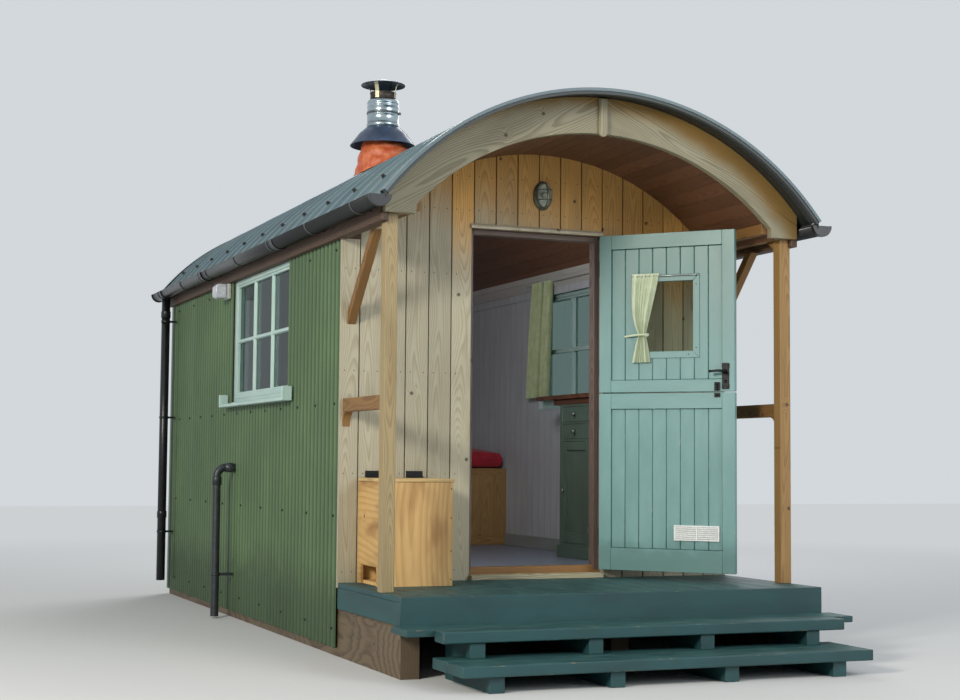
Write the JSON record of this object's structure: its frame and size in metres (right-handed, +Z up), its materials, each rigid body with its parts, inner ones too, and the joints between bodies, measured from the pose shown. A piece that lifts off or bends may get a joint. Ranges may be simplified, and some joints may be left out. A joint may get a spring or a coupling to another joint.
{
  "type": "shepherds hut",
  "caption": "Small timber hut with a barrel roof, corrugated side walls, a covered porch with steps and a two-part stable door.",
  "frame": {"origin": "on the ground on the centre line, straight below the outer face of the front wall", "axes": "+X right of someone facing the porch, +Y from the porch to the back, +Z up"},
  "size_m": [2.7978, 6.45, 3.532],
  "materials": {
    "bearer_timber": "rough sawn, dark",
    "chassis_timber": "rough sawn",
    "floor_paint": "grey-blue painted boards",
    "deck_paint": "dark green stained boards",
    "larch_boards": "weathered, unplaned look",
    "larch_frame": "planed and oiled",
    "lining_paint": "off-white paint",
    "wall_sheet": "olive green, matt",
    "roof_sheet": "grey-green, matt",
    "ceiling_timber": "dark stain",
    "roof_timber": "plain",
    "gutter_plastic": "black",
    "jamb_timber": "red-brown stain",
    "door_paint": "teal satin paint",
    "clear_glass": "clear",
    "curtain_cloth": "cream cotton",
    "black_iron": "black",
    "window_paint": "pale blue-green satin paint",
    "light_metal": "cast, dull",
    "light_box": "pale grey",
    "pipe_plastic": "dark grey",
    "flue_steel": "bright",
    "cowl_steel": "dark blue-grey",
    "boot_rubber": "orange-red silicone",
    "locker_ply": "weathered sheet board",
    "cabinet_paint": "dark green paint",
    "worktop_timber": "oiled",
    "cushion_cloth": "red cotton"
  },
  "bodies": {
    "hut": {"ground_bearers": "bearer_timber", "chassis": "chassis_timber", "cabin_floor": "floor_paint", "deck_boards": "deck_paint", "deck_fascia": "deck_paint", "upper_step": "deck_paint", "lower_step": "deck_paint", "step_bearers": "deck_paint", "front_wall_sides": "lining_paint", "front_wall_head": "lining_paint", "front_boards": "larch_boards", "side_walls": "lining_paint", "walls_under_windows": "lining_paint", "back_wall": "lining_paint", "eaves_plates": "larch_frame", "side_cladding": "wall_sheet", "back_cladding": "wall_sheet", "corner_flashings": "wall_sheet", "roof_core": "roof_timber", "roof_sheets": "roof_sheet", "ceiling_boards": "ceiling_timber", "front_barge_boards": "larch_boards", "keystone_batten": "larch_boards", "back_barge_boards": "larch_boards", "eaves_boards": "larch_frame", "gutters": "gutter_plastic", "downpipes": "gutter_plastic", "porch_posts": "larch_frame", "porch_rails": "larch_frame", "porch_braces": "larch_frame", "door_frame": "jamb_timber", "drip_mould": "larch_boards", "door_sill": "larch_boards", "jamb_hinges": "black_iron", "window_frames": "window_paint", "window_glass": "clear_glass", "window_sills": "window_paint", "porch_light": "light_metal", "side_light": "light_box", "waste_pipe": "pipe_plastic", "flue_pipe": "flue_steel", "flue_cap": "cowl_steel", "storm_cone": "cowl_steel", "flue_boot": "boot_rubber", "locker": "locker_ply", "lid_wall_hinges": "black_iron", "cabinet": "cabinet_paint", "cabinet_top": "worktop_timber", "bench": "locker_ply", "bench_cushion": "cushion_cloth"},
    "lower_door": {"lower_leaf": "door_paint", "lower_hinges": "black_iron"},
    "upper_door": {"upper_leaf": "door_paint", "leaf_glass": "clear_glass", "leaf_curtain": "curtain_cloth", "lock_plate": "black_iron", "upper_hinges": "black_iron"},
    "lever": {"lever_handle": "black_iron"},
    "lid": {"locker_lid": "locker_ply", "lid_hinges": "black_iron"}
  },
  "joints": [
    {"name": "lower_door_swing", "type": "hinge", "parent": "hut", "child": "lower_door", "pos_m": [0.392, -0.006, 0.98], "axis": [0, 0, 1], "range_deg": [-132, 18]},
    {"name": "upper_door_swing", "type": "hinge", "parent": "hut", "child": "upper_door", "pos_m": [0.392, -0.006, 1.98], "axis": [0, 0, 1], "range_deg": [-132, 8]},
    {"name": "lever_turn", "type": "hinge", "parent": "upper_door", "child": "lever", "pos_m": [0.88145, -0.62431, 1.624], "axis": [-0.7431, -0.6691, 0], "range_deg": [0, 40], "stiffness_Nm_per_rad": 0.6, "springref_deg": -28.65},
    {"name": "locker_lid_lift", "type": "hinge", "parent": "hut", "child": "lid", "pos_m": [-0.9175, -0.012, 1.0016], "axis": [-1, 0, 0], "range_deg": [0, 85]}
  ]
}
